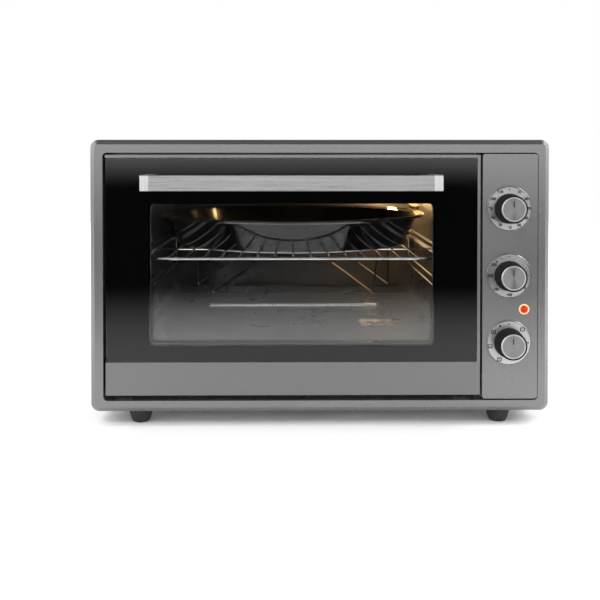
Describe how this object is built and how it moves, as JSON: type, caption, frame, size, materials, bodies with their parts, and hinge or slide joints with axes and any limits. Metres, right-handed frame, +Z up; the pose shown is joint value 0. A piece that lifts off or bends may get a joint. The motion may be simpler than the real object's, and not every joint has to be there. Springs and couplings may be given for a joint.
{
  "type": "toaster oven",
  "caption": "Countertop toaster oven: steel body on rubber feet, drop-down glass door with a bar handle, rotary controls, wire rack and round pan.",
  "frame": {"origin": "middle of the whole oven's footprint, on the surface its feet stand on", "axes": "+X to the right seen from the front, +Y from the door to the back, +Z up"},
  "size_m": [0.55, 0.49, 0.343],
  "materials": {
    "body_paint": "satin grey paint",
    "zinc_steel": "zinc-plated steel",
    "foot_rubber": "matt black rubber",
    "black_plastic": "matt black heat-resistant plastic",
    "cavity_enamel": "dark grey vitreous enamel",
    "glass_wool": "yellowish glass wool",
    "wire_chrome": "chromed wire",
    "element_steel": "dark heat-stained tube",
    "white_ceramic": "matt white ceramic",
    "lamp_glass": "warm clear glass",
    "switch_plastic": "moulded phenolic",
    "lamp_ring": "cream translucent plastic",
    "lamp_red": "red-orange faceted plastic",
    "dial_silver": "brushed aluminium",
    "gasket_black": "woven black glass-fibre rope",
    "knob_black": "satin dark plastic",
    "knob_face": "satin grey metallised face",
    "outer_glass": "tempered glass with a black printed border",
    "inner_glass": "clear tempered glass",
    "handle_steel": "brushed stainless steel",
    "pan_enamel": "glossy black enamel"
  },
  "bodies": {
    "chassis": {"outer_shell": "body_paint", "base_plate": "zinc_steel", "rear_panel": "body_paint", "front_bezel": "body_paint", "control_panel": "body_paint", "foot_front_left": "foot_rubber", "foot_front_right": "foot_rubber", "foot_rear_left": "foot_rubber", "foot_rear_right": "foot_rubber", "foot_screws": "zinc_steel", "panel_screws": "zinc_steel", "rear_spacers": "black_plastic", "cable_gland": "foot_rubber", "front_flange": "cavity_enamel", "cavity_liner": "cavity_enamel", "cavity_back": "cavity_enamel", "insulation_blanket": "glass_wool", "rack_guide_left": "wire_chrome", "rack_guide_right": "wire_chrome", "upper_element": "element_steel", "lower_element": "element_steel", "element_bushes": "white_ceramic", "lamp_holder": "white_ceramic", "lamp_bulb": "lamp_glass", "lamp_lens": "lamp_glass", "control_bay_shield": "zinc_steel", "selector_switch": "switch_plastic", "thermostat": "zinc_steel", "timer": "switch_plastic", "terminal_block": "white_ceramic", "indicator_holder": "lamp_ring", "indicator_lens": "lamp_red", "dial_plates": "dial_silver", "door_gasket": "gasket_black", "hinge_bracket_left": "zinc_steel", "hinge_bracket_right": "zinc_steel", "hinge_pins": "zinc_steel", "hinge_springs": "zinc_steel"},
    "door": {"door_frame": "cavity_enamel", "door_glass_outer": "outer_glass", "door_glass_inner": "inner_glass", "window_spacer": "black_plastic", "door_top_trim": "body_paint", "door_side_trim": "body_paint", "door_bottom_strip": "body_paint", "handle_bar": "handle_steel", "handle_posts": "handle_steel", "handle_screws": "zinc_steel"},
    "rack": {"wire_rack": "wire_chrome", "rack_cradle": "wire_chrome", "round_pan": "pan_enamel"},
    "function_dial": {"function_knob": "knob_black", "function_knob_cap": "knob_face", "function_shaft": "zinc_steel"},
    "temperature_dial": {"temperature_knob": "knob_black", "temperature_knob_cap": "knob_face", "temperature_shaft": "zinc_steel"},
    "timer_dial": {"timer_knob": "knob_black", "timer_knob_cap": "knob_face", "timer_shaft": "zinc_steel"}
  },
  "joints": [
    {"name": "door_hinge", "type": "hinge", "parent": "chassis", "child": "door", "pos_m": [-0.0325, -0.192, 0.0435], "axis": [1, 0, 0], "range_deg": [0, 85], "stiffness_Nm_per_rad": 1, "springref_deg": -22.92},
    {"name": "rack_slide", "type": "slide", "parent": "chassis", "child": "rack", "axis": [0, -1, 0], "range_m": [0, 0.15]},
    {"name": "function_turn", "type": "hinge", "parent": "chassis", "child": "function_dial", "pos_m": [0.226, -0.205, 0.0998], "axis": [0, 1, 0], "range_deg": [0, 300]},
    {"name": "temperature_turn", "type": "hinge", "parent": "chassis", "child": "temperature_dial", "pos_m": [0.226, -0.205, 0.1803], "axis": [0, 1, 0], "range_deg": [0, 270]},
    {"name": "timer_turn", "type": "hinge", "parent": "chassis", "child": "timer_dial", "pos_m": [0.226, -0.205, 0.2608], "axis": [0, 1, 0], "range_deg": [0, 300]}
  ],
  "couplings": [
    {"joint": "rack_slide", "follows": "door_hinge", "m_per_rad": 0.1}
  ]
}
